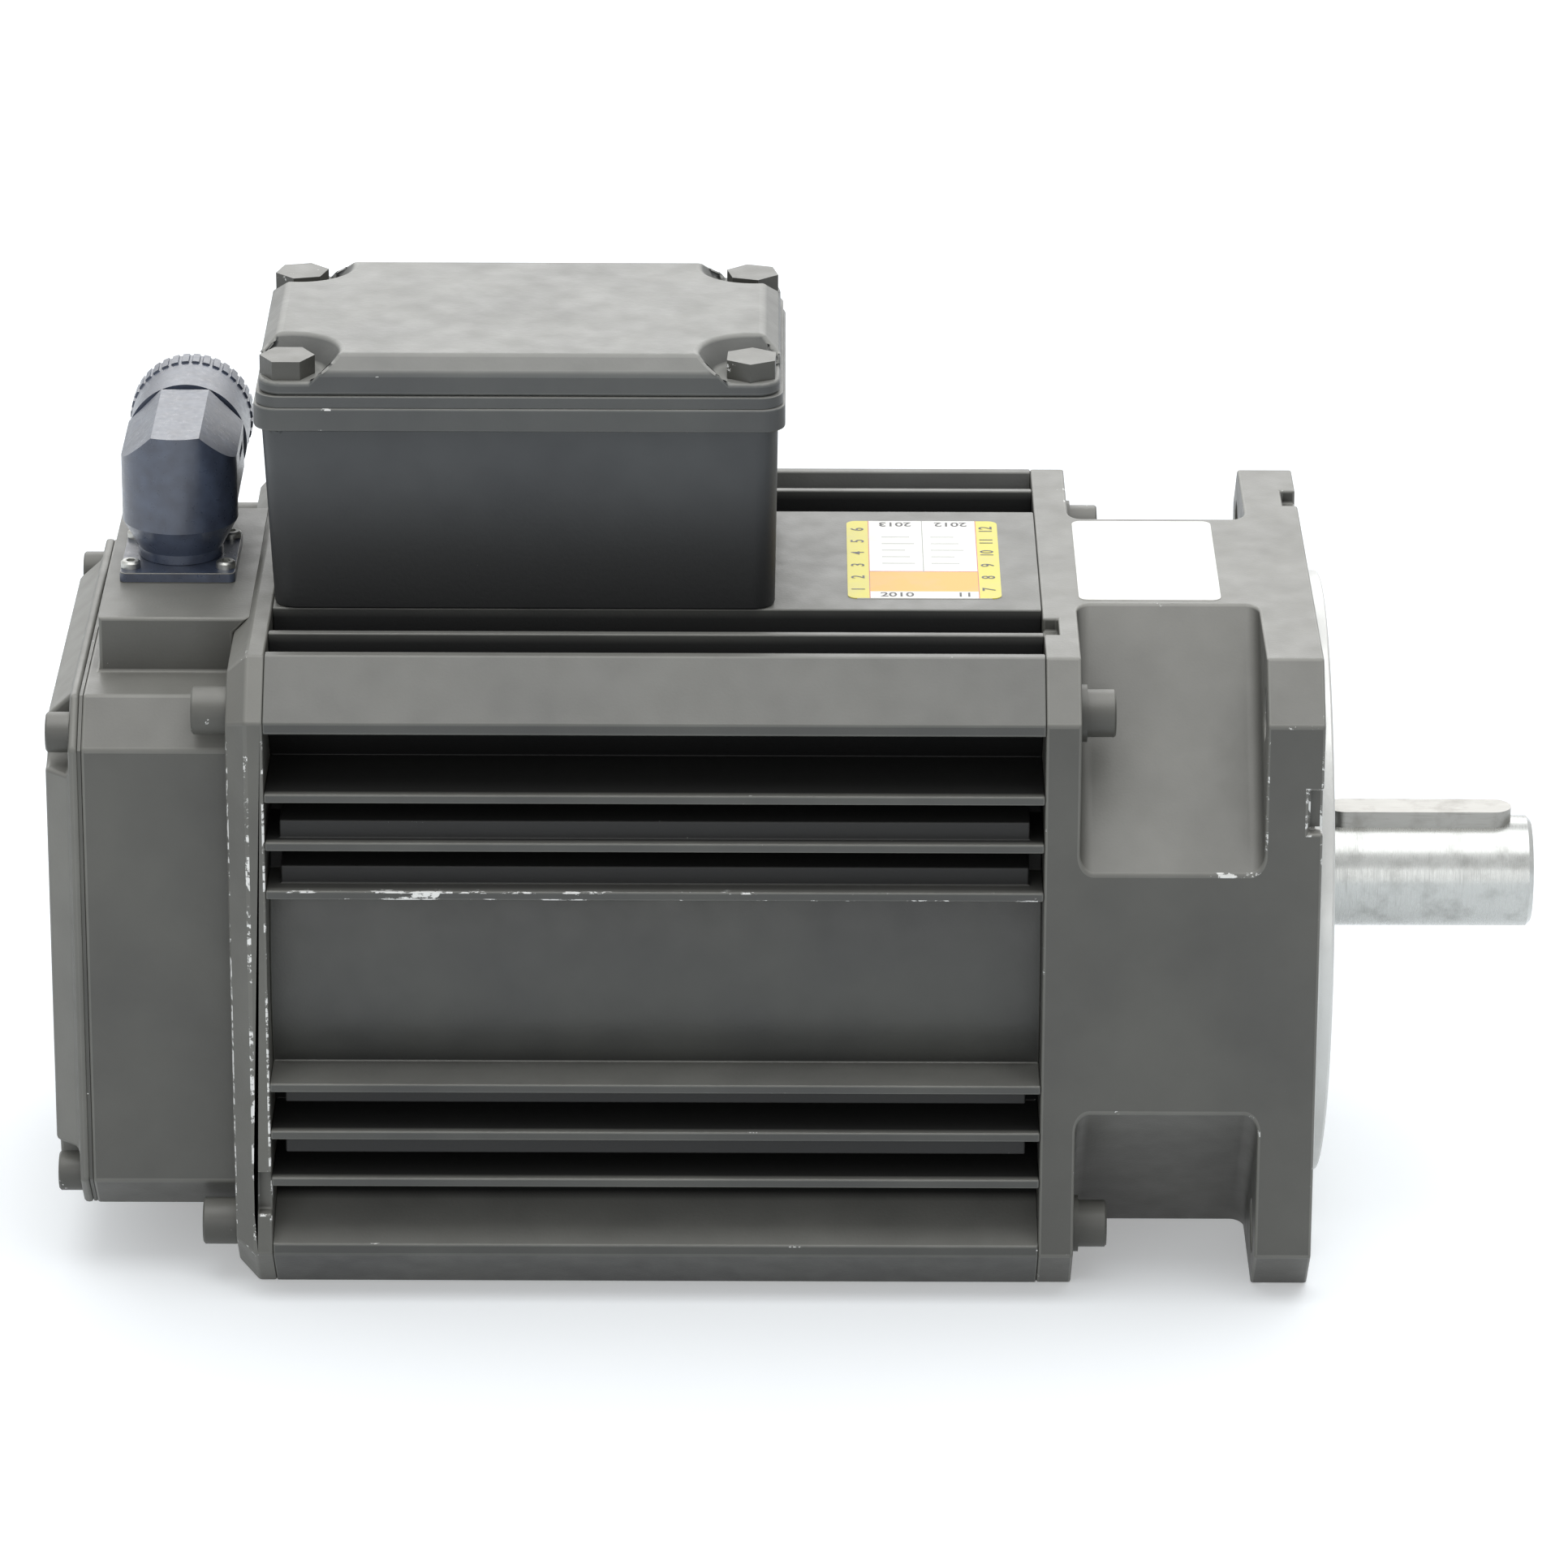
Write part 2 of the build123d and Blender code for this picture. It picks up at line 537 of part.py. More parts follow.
bearing("front_bearing", x_front_shoulder, FRONT_BRG_W, JOURNAL_R, FRONT_BRG_R, FRONT_BALL_R)
bearing("rear_bearing", x_rear_brg, REAR_BRG_W, REAR_SEAT_R, REAR_BRG_R, REAR_BALL_R)
clip_profile = Circle(FRONT_BRG_R + CIRCLIP_DEPTH) - Circle(FRONT_BRG_R - CIRCLIP_W)
clip_profile -= Pos(0, FRONT_BRG_R) * Rectangle(12, 4 * CIRCLIP_W)
save("front_bearing_circlip", along_x(clip_profile, x_front_shoulder - CIRCLIP_T, x_front_shoulder))
spring_in = REAR_BRG_R - 6.0
spring_out = REAR_BRG_R - 0.4
spring = turned([(x_rear_shoulder, spring_out), (x_rear_shoulder + 0.8, spring_out),
                 (x_rear_shoulder + SPRING_H, spring_in), (x_rear_shoulder + SPRING_H - 0.8, spring_in)])
save("preload_spring", spring)

# ---- encoder ----
x_body = x_hub - ENC_BODY_L
body = tube(x_body, x_hub, ENC_BODY_R, ENC_BODY_R - ENC_BODY_WALL)
body += tube(x_hub - ENC_FLANGE_T, x_hub, ENC_FLANGE_R, ENC_BODY_R - ENC_BODY_WALL)
body -= rods(enc_places, x_hub - ENC_FLANGE_T, x_hub, ENC_SCREW_R + 0.2)
for y, z in enc_places:
    body -= rod(x_body, x_hub - ENC_FLANGE_T, 3.0, y, z)
save("encoder_body", body)
enc_screw = Rot(0, -90, 0) * cap_screw(ENC_SCREW_R - THREAD_CLEAR, 2.75, 3.0, 2.5, ENC_FLANGE_T + 6)
save("encoder_screws", *[Pos(x_hub - ENC_FLANGE_T, y, z) * enc_screw for y, z in enc_places])
save("encoder_board", rod(x_body - ENC_BOARD_T, x_body, ENC_BODY_R - 0.5))
x_disc = x_stub - STUB_L + 2
enc_rotor = tube(x_stub - STUB_L, x_stub - 2, ENC_HUB_R, STUB_R)
enc_rotor += tube(x_disc, x_disc + ENC_DISC_T, ENC_DISC_R, STUB_R)
save("encoder_rotor", enc_rotor)

# ---- connector flange and its screws ----
plate_x, plate_y, plate_t = CONN_PLATE
conn_plate = RectangleRounded(plate_x, plate_y, 1.5) - Circle(SWIVEL_R + RUN_CLEAR)
for dx, dy in conn_places:
    conn_plate -= Pos(dx, dy) * Circle(M3_R + 0.2)
save("connector_flange", extrude(Plane.XY.offset(BLOCK_TOP) * Pos(x_conn, 0) * conn_plate, plate_t))
m3_screw = cap_screw(M3_R - THREAD_CLEAR, M3_HEAD_R, M3_HEAD_H, 1.8, plate_t + 6)
save("connector_screws", *[Pos(x_conn + dx, dy, z_plate) * m3_screw for dx, dy in conn_places])

# ---- connector elbow: an upright round body mitred into an octagonal outlet along +Y ----
side = 2 * ELBOW_R * (sqrt(2) - 1)
octagon = cut_square(ELBOW_R, ELBOW_R - side / 2)
z_body = z_plate + ELBOW_LIFT
z_cone = z_body + ELBOW_FOOT_H
upright = turned([(z_body, 0), (z_body, ELBOW_FOOT_R), (z_cone, ELBOW_FOOT_R),
                  (z_cone + ELBOW_CONE_H, ELBOW_R), (z_outlet + ELBOW_R, ELBOW_R), (z_outlet + ELBOW_R, 0)])
upright = Rot(0, -90, 0) * upright
roof = extrude(Plane.XZ.offset(-ELBOW_R) * Pos(0, z_outlet) * octagon, 2 * ELBOW_R)
lower = Pos(0, 0, z_outlet - 40) * Box(4 * ELBOW_R, 4 * ELBOW_R, 80)
elbow = upright & (roof + lower)
elbow += extrude(Plane.XZ * Pos(0, z_outlet) * octagon, OUTLET_BODY_L, dir=(0, 1, 0))
elbow += extrude(Plane.XZ * Pos(0, z_outlet) * Circle(BARREL_R), BARREL_L, dir=(0, 1, 0))
elbow -= extrude(Plane.XZ.offset(-INSERT_Y[0]) * Pos(0, z_outlet) * Circle(BARREL_BORE_R), BARREL_L, dir=(0, 1, 0))
for across in (-1, 1):
    slot_cut = Box(1.6, 9.0, 2.0)
    elbow -= Pos(across * ELBOW_R, OUTLET_BODY_L - 9.0, z_outlet + 1.5) * slot_cut
z_snap = BLOCK_TOP - SNAP_T
swivel_foot = post(0, 0, z_snap - 1.5, z_body, SWIVEL_R)
groove = post(0, 0, z_snap - RUN_CLEAR, BLOCK_TOP - RUN_CLEAR, SWIVEL_R) - post(0, 0, z_snap - 1, BLOCK_TOP, SWIVEL_R - 1)
elbow += swivel_foot - groove
elbow = Pos(x_conn, 0, 0) * elbow
save("connector_elbow", elbow)
snap = post(x_conn, 0, z_snap - RUN_CLEAR, BLOCK_TOP - 2 * RUN_CLEAR, SNAP_R)
save("connector_snap_ring", snap - post(x_conn, 0, z_snap - 1, BLOCK_TOP, SWIVEL_R - 1))

# ---- coupling ring, insulator and contact pins in the outlet ----
outlet_plane = Plane.XZ.offset(0) * Pos(x_conn, z_outlet)
nut_bore = Circle(BARREL_R + RUN_CLEAR)
nut = extrude(outlet_plane * (Circle(NUT_R) - nut_bore), NUT_X[1] - NUT_X[0], dir=(0, 1, 0))
knurled = Circle(KNURL_R) - nut_bore
for k in range(KNURL_COUNT):
    angle = radians(360 / KNURL_COUNT * k)
    knurled -= Pos(KNURL_R * cos(angle), KNURL_R * sin(angle)) * Circle(0.45)
knurl = extrude(outlet_plane * knurled, KNURL_W, dir=(0, 1, 0))
save("coupling_ring", Pos(0, NUT_X[0], 0) * nut + Pos(0, NUT_X[1] - KNURL_W, 0) * knurl)
insert_l = INSERT_Y[1] - INSERT_Y[0]
insulator = extrude(outlet_plane * Circle(BARREL_BORE_R - THREAD_CLEAR), insert_l, dir=(0, 1, 0))
save("connector_insert", Pos(0, INSERT_Y[0], 0) * insulator)
pins = []
for k in range(PIN_COUNT):
    angle = radians(360 / PIN_COUNT * k)
    place = outlet_plane * Pos(PIN_CIRCLE_R * cos(angle), PIN_CIRCLE_R * sin(angle)) * Circle(PIN_R)
    pins.append(Pos(0, INSERT_Y[1], 0) * extrude(place, PIN_L, dir=(0, 1, 0)))
save("contact_pins", *pins)

# ---- terminal box ----
foot_x, foot_y = BOX_FOOT
top_x, top_y = BOX_TOP
x_top = x_box - (top_x - foot_x) / 2 + 0.6
foot_face = Plane.XY.offset(HALF) * Pos(x_box, 0) * RectangleRounded(foot_x, foot_y, BOX_R)
top_face = Plane.XY.offset(z_frame) * Pos(x_top, 0) * RectangleRounded(top_x, top_y, BOX_R)
box = loft([foot_face.face(), top_face.face()], ruled=True)
inner = RectangleRounded(foot_x - 2 * BOX_WALL, foot_y - 2 * BOX_WALL, BOX_R - BOX_WALL / 2)
box -= extrude(Plane.XY.offset(HALF + BOX_FLOOR) * Pos(x_box, 0) * inner, BOX_H)
box -= post(x_lead, 0, HALF, HALF + BOX_FLOOR, LEAD_HOLE_R)
boss_places = rectangle_corners(*LID_SCREWS)
x_lid = x_top
for dx, dy in boss_places:
    boss = post(x_lid + dx, dy, z_frame - 16, z_frame, 5.5)
    box += boss & loft([foot_face.face(), top_face.face()], ruled=True)
    box -= post(x_lid + dx, dy, z_frame - 12, z_frame, M6_R)
for dx, dy in rectangle_corners(*BOX_SCREWS):
    box -= post(x_box + dx, dy, HALF, HALF + BOX_FLOOR, M5_R + HOLE_CLEAR)
box -= post(x_box + EARTH_POS[0], EARTH_POS[1], HALF, HALF + BOX_FLOOR, M5_R)
z_plug = HALF + BOX_FLOOR + PLUG_R[0] + 5
for dx, plug_r in zip(PLUG_POS, PLUG_R):
    box -= extrude(Plane.XZ.offset(-top_y / 2 - 1) * Pos(x_box + dx, z_plug) * Circle(plug_r - 2), BOX_WALL + 6)
save("terminal_box", box)


def lid_plan(size, radius, height, z):
    """A rounded rectangle of the lid stack, pushed up from z."""
    return extrude(Plane.XY.offset(z) * Pos(x_lid, 0) * RectangleRounded(*size, radius), height)


opening = (foot_x - 2 * BOX_WALL - 2, foot_y - 2 * BOX_WALL - 2)
lid_holes = [post(x_lid + dx, dy, z_frame, z_lid + LID_SKIRT, M6_R + HOLE_CLEAR) for dx, dy in boss_places]
bosses = [post(x_lid + dx, dy, z_frame, z_lid, 5.5) for dx, dy in boss_places]
box_frame = lid_plan(FRAME_SIZE, BOX_R, FRAME_T, z_frame) - lid_plan(opening, 3, FRAME_T, z_frame)
box_frame += [b & lid_plan(FRAME_SIZE, BOX_R, FRAME_T, z_frame) for b in bosses]
save("terminal_box_frame", box_frame - lid_holes)
seal_size = (LID_SIZE[0] + 1.2, LID_SIZE[1] + 0.8)
box_seal = lid_plan(seal_size, BOX_R, SEAL_FRAME_T, z_seal) - lid_plan(opening, 3, SEAL_FRAME_T, z_seal)
box_seal += [b & lid_plan(seal_size, BOX_R, SEAL_FRAME_T, z_seal) for b in bosses]
save("terminal_box_gasket", box_seal - lid_holes)

# ---- terminal box lid, with a scooped seat at each corner for its screw ----
lid = lid_plan(LID_SIZE, BOX_R, LID_SKIRT + LID_BEVEL_H, z_lid)
lid = chamfer(lid.faces().sort_by(Axis.Z)[-1].edges(), LID_BEVEL_H, LID_BEVEL_W)
lid -= lid_plan(opening, 3, LID_SKIRT + LID_BEVEL_H - LID_SKIN, z_lid)
z_seat = z_lid + SCOOP_FLOOR
scoop_h = LID_SKIRT + LID_BEVEL_H - SCOOP_FLOOR
for dx, dy in boss_places:
    lid += post(x_lid + dx, dy, z_lid, z_seat, 6.0) & lid_plan(LID_SIZE, BOX_R, LID_SKIRT, z_lid)
    wall = post(x_lid + dx, dy, z_lid, z_lid + LID_SKIRT + LID_BEVEL_H, SCOOP_R[1] + LID_SKIN)
    lid += wall & lid_plan((LID_SIZE[0] - 8, LID_SIZE[1] - 8), 3, LID_SKIRT + LID_BEVEL_H, z_lid)
for dx, dy in boss_places:
    seat_place = Pos(x_lid + dx, dy, z_seat + scoop_h / 2)
    lid -= seat_place * Cone(SCOOP_R[0], SCOOP_R[1], scoop_h)
lid_screw_holes = [post(x_lid + dx, dy, z_lid, z_seat, M6_R + HOLE_CLEAR) for dx, dy in boss_places]
save("terminal_box_lid", lid - lid_screw_holes)
lid_shank = SCOOP_FLOOR + SEAL_FRAME_T + FRAME_T + 10
lid_screw = hex_screw(M6_R - THREAD_CLEAR, HEX_AF, HEX_H, lid_shank)
save("terminal_lid_screws", *[Pos(x_lid + dx, dy, z_seat) * Rot(0, 0, 14 * k) * lid_screw
                              for k, (dx, dy) in enumerate(boss_places)])

# ---- inside the terminal box ----
z_floor = HALF + BOX_FLOOR
floor_screw = cap_screw(M5_R - THREAD_CLEAR, M5_HEAD_R, M5_HEAD_H, M5_SOCKET, BOX_FLOOR + 8)
save("terminal_box_screws", *[Pos(x_box + dx, dy, z_floor) * floor_screw
                              for dx, dy in rectangle_corners(*BOX_SCREWS)])
block_x, block_y, block_h = TERM_BLOCK
terminals = Pos(x_box, 0, z_floor + block_h / 2) * Box(block_x, block_y, block_h)
stud_places = [(x_box + STUD_PITCH * k, 0) for k in (-1, 0, 1)]
for k in (-0.5, 0.5):
    terminals += Pos(x_box + STUD_PITCH * k, 0, z_floor + block_h + 3) * Box(1.5, block_y, 6)
for x, y in stud_places:
    terminals -= post(x, y, z_floor, z_floor + block_h, STUD_R)
save("terminal_block", terminals)
save("terminal_studs", *[post(x, y, z_floor, z_floor + STUD_H, STUD_R) for x, y in stud_places])
nut_profile = hexagon(NUT_AF) - Circle(STUD_R)
save("terminal_nuts", *[extrude(Plane.XY.offset(z_floor + block_h) * Pos(x, y) * nut_profile, NUT_T)
                        for x, y in stud_places])
save("earth_screw", Pos(x_box + EARTH_POS[0], EARTH_POS[1], z_floor)
     * hex_screw(M5_R - THREAD_CLEAR, NUT_AF, 3.5, BOX_FLOOR - 0.5))
plugs = []
y_wall = foot_y / 2 + (top_y - foot_y) / 2 * (z_plug - HALF) / BOX_H
for dx, plug_r in zip(PLUG_POS, PLUG_R):
    wall_gap = (top_y - foot_y) / 2 * plug_r / BOX_H
    head_face = Plane.XZ.offset(-y_wall - wall_gap) * Pos(x_box + dx, z_plug)
    plug = extrude(head_face * RegularPolygon(plug_r, 6), PLUG_HEAD_T, dir=(0, 1, 0))
    plug += extrude(head_face * Circle(plug_r - 2 - THREAD_CLEAR), PLUG_BODY_L, dir=(0, -1, 0))
    plugs.append(plug)
save("cable_entry_plugs", *plugs)

# ---- labels ----
def sticker(x, size):
    """A thin label with rounded corners on the top pad."""
    outline = Pos(x, 0) * RectangleRounded(*size, LABEL_CORNER)
    return extrude(Plane.XY.offset(HALF) * outline, LABEL_T)


label_x = x_stator - DATE_LABEL_GAP - DATE_LABEL[0] / 2
save("date_label", sticker(label_x, DATE_LABEL))
neck_mid = (x_plate + x_neck) / 2 - 3.5
save("neck_label", sticker(neck_mid, NECK_LABEL))
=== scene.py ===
from math import cos, pi, radians, sin
import bpy
import bmesh
import numpy as np
from mathutils import Matrix, Vector


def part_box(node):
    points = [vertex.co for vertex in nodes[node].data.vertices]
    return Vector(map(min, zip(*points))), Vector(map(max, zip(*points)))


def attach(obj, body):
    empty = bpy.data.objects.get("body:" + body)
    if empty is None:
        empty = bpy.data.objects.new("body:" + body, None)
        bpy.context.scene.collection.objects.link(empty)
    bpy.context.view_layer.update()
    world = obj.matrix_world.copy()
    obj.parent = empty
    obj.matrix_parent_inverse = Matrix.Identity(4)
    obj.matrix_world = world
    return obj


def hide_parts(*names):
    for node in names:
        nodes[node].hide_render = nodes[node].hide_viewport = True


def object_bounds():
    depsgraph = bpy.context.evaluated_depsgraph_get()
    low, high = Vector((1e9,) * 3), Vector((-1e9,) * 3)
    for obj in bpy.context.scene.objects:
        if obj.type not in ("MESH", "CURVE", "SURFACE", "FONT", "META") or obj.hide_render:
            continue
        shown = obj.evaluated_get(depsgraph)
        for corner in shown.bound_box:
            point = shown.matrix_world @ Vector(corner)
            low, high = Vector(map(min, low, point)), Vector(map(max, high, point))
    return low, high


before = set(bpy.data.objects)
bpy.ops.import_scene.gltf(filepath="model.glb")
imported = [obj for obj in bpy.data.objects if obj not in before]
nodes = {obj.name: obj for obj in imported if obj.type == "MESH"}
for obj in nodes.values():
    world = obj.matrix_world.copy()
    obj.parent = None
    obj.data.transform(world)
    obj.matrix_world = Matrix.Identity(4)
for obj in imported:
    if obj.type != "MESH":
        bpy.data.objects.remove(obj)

cad_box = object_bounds()
scene = bpy.context.scene
scene.view_settings.view_transform = "Standard"

# ---- the camera: a long lens in front of the motor's side, looking down on it a little ----
# It stands 1.76 m from the middle of the frame, so the shaft and the lid both keep their true
# proportions. The lens and the sensor's width are in millimetres.
tilt, turn, roll = radians(21.207), radians(0.048), radians(0.209)
target = Vector((-0.1117, 0.0, 0.0195))
distance = 1.7593
right = Vector((cos(turn), -sin(turn), 0.0))
forward = Vector((sin(turn) * cos(tilt), cos(turn) * cos(tilt), -sin(tilt)))
upward = right.cross(forward)
right, upward = right * cos(roll) + upward * sin(roll), upward * cos(roll) - right * sin(roll)
camera_data = bpy.data.cameras.new("camera")
camera_data.lens = 187.0
camera_data.sensor_width = 36.0
camera_data.clip_end = 20.0
camera = bpy.data.objects.new("camera", camera_data)
scene.collection.objects.link(camera)
place = target - forward * distance
camera.matrix_world = Matrix((
    (right.x, upward.x, -forward.x, place.x),
    (right.y, upward.y, -forward.y, place.y),
    (right.z, upward.z, -forward.z, place.z),
    (0.0, 0.0, 0.0, 1.0)))
scene.camera = camera


# ---- the studio: white paper floor, white surroundings and three soft lamps ----
# The floor stays white to the camera and keeps the motor's shadow. The lamps are large diffusers:
# one overhead, one behind that the upper faces mirror, and a weak one in front.
def add(tree, kind, links=None, **settings):
    """Add one node, set its attributes, and set or link its input sockets."""
    made = tree.nodes.new("ShaderNode" + kind)
    for key, value in settings.items():
        setattr(made, key, value)
    for key, value in (links or {}).items():
        socket = made.inputs[key]
        if isinstance(value, bpy.types.NodeSocket):
            tree.links.new(value, socket)
        else:
            socket.default_value = value
    return made


def colour(code, alpha=1.0):
    """An sRGB hex value as a linear colour."""
    parts = [int(code[k:k + 2], 16) / 255 for k in (1, 3, 5)]
    return [p / 12.92 if p <= 0.04045 else ((p + 0.055) / 1.055) ** 2.4 for p in parts] + [alpha]


def blank(name):
    """A new node material with nothing in its tree but the output."""
    made = bpy.data.materials.new(name)
    made.use_nodes = True
    tree = made.node_tree
    tree.nodes.clear()
    return made, tree, tree.nodes.new("ShaderNodeOutputMaterial")


white = colour("#ffffff")
world = bpy.data.worlds.new("white_room")
scene.world = world
world.use_nodes = True
tree = world.node_tree
tree.nodes.clear()
path = add(tree, "LightPath")
seen = add(tree, "Math", {0: path.outputs["Is Camera Ray"], 1: path.outputs["Is Glossy Ray"]},
           operation="MAXIMUM")
aside = add(tree, "SeparateXYZ", {0: add(tree, "TexCoord").outputs["Generated"]}).outputs
# glossy rays that leave level towards the camera's side meet a dim wall, not white paper
ahead = add(tree, "MapRange", {"Value": aside["Y"], "From Min": -0.55, "From Max": -0.9,
                               "To Max": 0.8}).outputs["Result"]
level = add(tree, "Math", {0: aside["Z"]}, operation="ABSOLUTE").outputs[0]
level = add(tree, "MapRange", {"Value": level, "From Min": 0.42, "From Max": 0.22}).outputs["Result"]
dark_side = add(tree, "Math", {0: ahead, 1: level}, operation="MULTIPLY").outputs[0]
mirrored = add(tree, "Math", {0: dark_side, 1: path.outputs["Is Glossy Ray"]},
               operation="MULTIPLY").outputs[0]
glare = add(tree, "Math", {0: 1.0, 1: mirrored}, operation="SUBTRACT").outputs[0]
room_light = 0.56
dim = add(tree, "Background", {"Color": white, "Strength": room_light})
bright = add(tree, "Background", {"Color": white, "Strength": glare})
mixed = add(tree, "MixShader", {0: seen.outputs[0], 1: dim.outputs[0], 2: bright.outputs[0]})
add(tree, "OutputWorld", {"Surface": mixed.outputs[0]})

floor_size = 6.0
floor_cells = 4
floor_glow = 0.30
floor_z = cad_box[0][2] - 0.0002
steps = np.linspace(-floor_size / 2, floor_size / 2, floor_cells + 1)
gx, gy = np.meshgrid(steps, steps, indexing="ij")
points = np.stack([gx, gy, np.full_like(gx, floor_z)], -1).reshape(-1, 3)
index = np.arange((floor_cells + 1) ** 2).reshape(floor_cells + 1, -1)
quads = np.stack([index[:-1, :-1], index[1:, :-1], index[1:, 1:], index[:-1, 1:]], -1).reshape(-1, 4)
floor_mesh = bpy.data.meshes.new("floor")
floor_mesh.from_pydata(points.tolist(), [], quads.tolist())
floor = bpy.data.objects.new("floor", floor_mesh)
scene.collection.objects.link(floor)
paper, tree, out = blank("white_paper")
path = add(tree, "LightPath")
seen = add(tree, "Math", {0: path.outputs["Is Camera Ray"], 1: path.outputs["Is Glossy Ray"]},
           operation="MAXIMUM")
seen = add(tree, "Math", {0: seen.outputs[0], 1: floor_glow}, operation="MULTIPLY")
matte = add(tree, "BsdfDiffuse", {"Color": colour("#e8edf1")})
glow = add(tree, "Emission", {"Color": white, "Strength": seen.outputs[0]})
both = add(tree, "AddShader", {0: matte.outputs[0], 1: glow.outputs[0]})
tree.links.new(both.outputs[0], out.inputs["Surface"])
floor_mesh.materials.append(paper)

lamps = {"overhead": ((-0.1, -0.1, 1.5), (1.6, 1.6), 14.0),
         "behind": ((-0.1, 1.7, 0.95), (2.6, 1.0), 16.0),
         "front": ((-0.5, -1.9, 0.36), (1.8, 1.0), 10.0)}
for lamp_name, (spot, (wide, high), power) in lamps.items():
    lamp_data = bpy.data.lights.new(lamp_name, "AREA")
    lamp_data.shape = "RECTANGLE"
    lamp_data.size, lamp_data.size_y = wide, high
    lamp_data.energy = power
    lamp = bpy.data.objects.new(lamp_name, lamp_data)
    scene.collection.objects.link(lamp)
    aim = (Vector((-0.1, 0.0, 0.0)) - Vector(spot)).normalized()
    lamp.matrix_world = Matrix.Translation(spot) @ aim.to_track_quat("-Z", "Y").to_matrix().to_4x4()
    lamp.visible_camera = False


